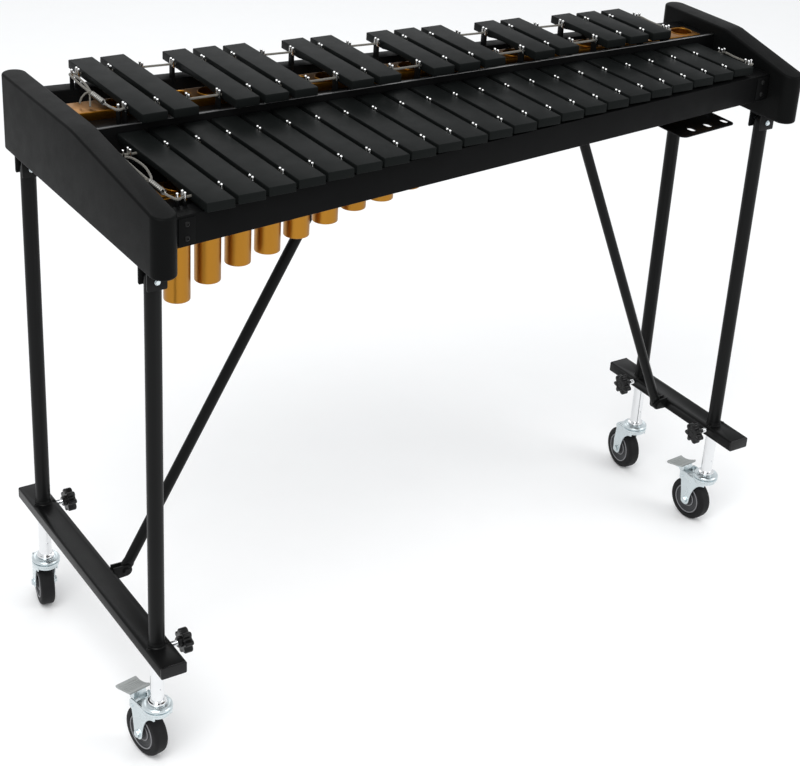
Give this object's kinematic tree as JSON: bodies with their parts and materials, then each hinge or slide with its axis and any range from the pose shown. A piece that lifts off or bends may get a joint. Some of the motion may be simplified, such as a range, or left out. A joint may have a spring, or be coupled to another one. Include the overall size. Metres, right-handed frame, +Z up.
{
  "type": "vibraphone",
  "caption": "Bar percussion instrument with black metal bars over gold tuned resonator tubes, on a folding height-adjustable stand with braces and braked casters.",
  "frame": {"origin": "on the floor under the middle of the instrument", "axes": "+X along the keyboard from the low bars to the high ones, -Y towards the player, +Z up"},
  "size_m": [1.1449, 0.5163, 0.8772],
  "materials": {
    "bar": "black anodised satin",
    "end_block": "black satin moulded",
    "rail": "black powder coat",
    "resonator": "gold anodised satin",
    "stand": "black powder coat",
    "stem": "bright plated",
    "fork": "bright zinc plated",
    "wheel": "dark grey tread, grey hub",
    "knob": "black moulded",
    "brake_pedal": "grey ribbed",
    "cord": "braided"
  },
  "bodies": {
    "frame": {"end_block_low": "end_block", "end_block_high": "end_block", "front_rail": "rail", "natural_inner_rail": "rail", "accidental_inner_rail": "rail", "rear_rail": "rail", "natural_resonators": "resonator", "accidental_resonators": "resonator", "accessory_plate": "stand", "natural_cord": "cord", "bar_C5": "bar", "bar_D5": "bar", "bar_E5": "bar", "bar_F5": "bar", "bar_G5": "bar", "bar_A5": "bar", "bar_B5": "bar", "bar_C6": "bar", "bar_D6": "bar", "bar_E6": "bar", "bar_F6": "bar", "bar_G6": "bar", "bar_A6": "bar", "bar_B6": "bar", "bar_C7": "bar", "bar_D7": "bar", "bar_E7": "bar", "bar_F7": "bar", "bar_G7": "bar", "bar_A7": "bar", "bar_B7": "bar", "bar_C8": "bar", "bars_Cs5_Ds5": "bar", "bars_Fs5_As5": "bar", "bars_Cs6_Ds6": "bar", "bars_Fs6_As6": "bar", "bars_Cs7_Ds7": "bar", "bars_Fs7_As7": "bar"},
    "stand_low": {"leg_frame_low": "stand"},
    "stand_high": {"leg_frame_high": "stand"},
    "brace_low": {"brace_low": "stand"},
    "brace_high": {"brace_high": "stand"},
    "stem_low_front": {"stem_low_front": "stem"},
    "fork_low_front": {"fork_low_front": "fork"},
    "wheel_low_front": {"wheel_low_front": "wheel"},
    "knob_low_front": {"knob_low_front": "knob"},
    "brake_low_front": {"brake_low_front": "brake_pedal"},
    "stem_low_rear": {"stem_low_rear": "stem"},
    "fork_low_rear": {"fork_low_rear": "fork"},
    "wheel_low_rear": {"wheel_low_rear": "wheel"},
    "knob_low_rear": {"knob_low_rear": "knob"},
    "stem_high_front": {"stem_high_front": "stem"},
    "fork_high_front": {"fork_high_front": "fork"},
    "wheel_high_front": {"wheel_high_front": "wheel"},
    "knob_high_front": {"knob_high_front": "knob"},
    "brake_high_front": {"brake_high_front": "brake_pedal"},
    "stem_high_rear": {"stem_high_rear": "stem"},
    "fork_high_rear": {"fork_high_rear": "fork"},
    "wheel_high_rear": {"wheel_high_rear": "wheel"},
    "knob_high_rear": {"knob_high_rear": "knob"}
  },
  "joints": [
    {"name": "stand_low_fold", "type": "hinge", "parent": "frame", "child": "stand_low", "pos_m": [-0.5463, 0, 0.7432], "axis": [0, -1, 0], "range_deg": [0, 85]},
    {"name": "stand_high_fold", "type": "hinge", "parent": "frame", "child": "stand_high", "pos_m": [0.5463, 0, 0.7432], "axis": [0, 1, 0], "range_deg": [0, 74]},
    {"name": "brace_low_fold", "type": "hinge", "parent": "frame", "child": "brace_low", "pos_m": [-0.1731, -0.01575, 0.78], "axis": [0, -1, 0], "range_deg": [0, 118]},
    {"name": "brace_high_fold", "type": "hinge", "parent": "frame", "child": "brace_high", "pos_m": [0.253, 0.01575, 0.78], "axis": [0, 1, 0], "range_deg": [0, 111.5]},
    {"name": "stem_low_front_slide", "type": "slide", "parent": "stand_low", "child": "stem_low_front", "axis": [0, 0, -1], "range_m": [-0.04, 0.1]},
    {"name": "caster_low_front_swivel", "type": "hinge", "parent": "stem_low_front", "child": "fork_low_front", "pos_m": [-0.5463, -0.203, 0.095], "axis": [0, 0, 1], "continuous": true},
    {"name": "wheel_low_front_roll", "type": "hinge", "parent": "fork_low_front", "child": "wheel_low_front", "pos_m": [-0.55107, -0.17846, 0.0375], "axis": [0.9816, 0.1908, 0], "continuous": true},
    {"name": "knob_low_front_turn", "type": "hinge", "parent": "stand_low", "child": "knob_low_front", "pos_m": [-0.5013, -0.203, 0.1902], "axis": [1, 0, 0], "range_deg": [0, 360]},
    {"name": "brake_low_front_press", "type": "hinge", "parent": "fork_low_front", "child": "brake_low_front", "pos_m": [-0.55355, -0.1657, 0.079], "axis": [-0.9816, -0.1908, 0], "range_deg": [0, 16]},
    {"name": "stem_low_rear_slide", "type": "slide", "parent": "stand_low", "child": "stem_low_rear", "axis": [0, 0, -1], "range_m": [-0.04, 0.1]},
    {"name": "caster_low_rear_swivel", "type": "hinge", "parent": "stem_low_rear", "child": "fork_low_rear", "pos_m": [-0.5463, 0.197, 0.095], "axis": [0, 0, 1], "continuous": true},
    {"name": "wheel_low_rear_roll", "type": "hinge", "parent": "fork_low_rear", "child": "wheel_low_rear", "pos_m": [-0.54153, 0.22154, 0.0375], "axis": [0.9816, -0.1908, 0], "continuous": true},
    {"name": "knob_low_rear_turn", "type": "hinge", "parent": "stand_low", "child": "knob_low_rear", "pos_m": [-0.5013, 0.197, 0.1902], "axis": [1, 0, 0], "range_deg": [0, 360]},
    {"name": "stem_high_front_slide", "type": "slide", "parent": "stand_high", "child": "stem_high_front", "axis": [0, 0, -1], "range_m": [-0.04, 0.1]},
    {"name": "caster_high_front_swivel", "type": "hinge", "parent": "stem_high_front", "child": "fork_high_front", "pos_m": [0.5463, -0.0903, 0.095], "axis": [0, 0, 1], "continuous": true},
    {"name": "wheel_high_front_roll", "type": "hinge", "parent": "fork_high_front", "child": "wheel_high_front", "pos_m": [0.54412, -0.06539, 0.0375], "axis": [0.9962, 0.0872, 0], "continuous": true},
    {"name": "knob_high_front_turn", "type": "hinge", "parent": "stand_high", "child": "knob_high_front", "pos_m": [0.5013, -0.0903, 0.1902], "axis": [-1, 0, 0], "range_deg": [0, 360]},
    {"name": "brake_high_front_press", "type": "hinge", "parent": "fork_high_front", "child": "brake_high_front", "pos_m": [0.54299, -0.05244, 0.079], "axis": [-0.9962, -0.0872, 0], "range_deg": [0, 16]},
    {"name": "stem_high_rear_slide", "type": "slide", "parent": "stand_high", "child": "stem_high_rear", "axis": [0, 0, -1], "range_m": [-0.04, 0.1]},
    {"name": "caster_high_rear_swivel", "type": "hinge", "parent": "stem_high_rear", "child": "fork_high_rear", "pos_m": [0.5463, 0.1023, 0.095], "axis": [0, 0, 1], "continuous": true},
    {"name": "wheel_high_rear_roll", "type": "hinge", "parent": "fork_high_rear", "child": "wheel_high_rear", "pos_m": [0.54848, 0.12721, 0.0375], "axis": [0.9962, -0.0872, 0], "continuous": true},
    {"name": "knob_high_rear_turn", "type": "hinge", "parent": "stand_high", "child": "knob_high_rear", "pos_m": [0.5013, 0.1023, 0.1902], "axis": [-1, 0, 0], "range_deg": [0, 360]}
  ],
  "couplings": [
    {"joint": "brace_low_fold", "follows": "stand_low_fold", "ratio": 1.3879},
    {"joint": "brace_high_fold", "follows": "stand_high_fold", "ratio": 1.5065}
  ]
}
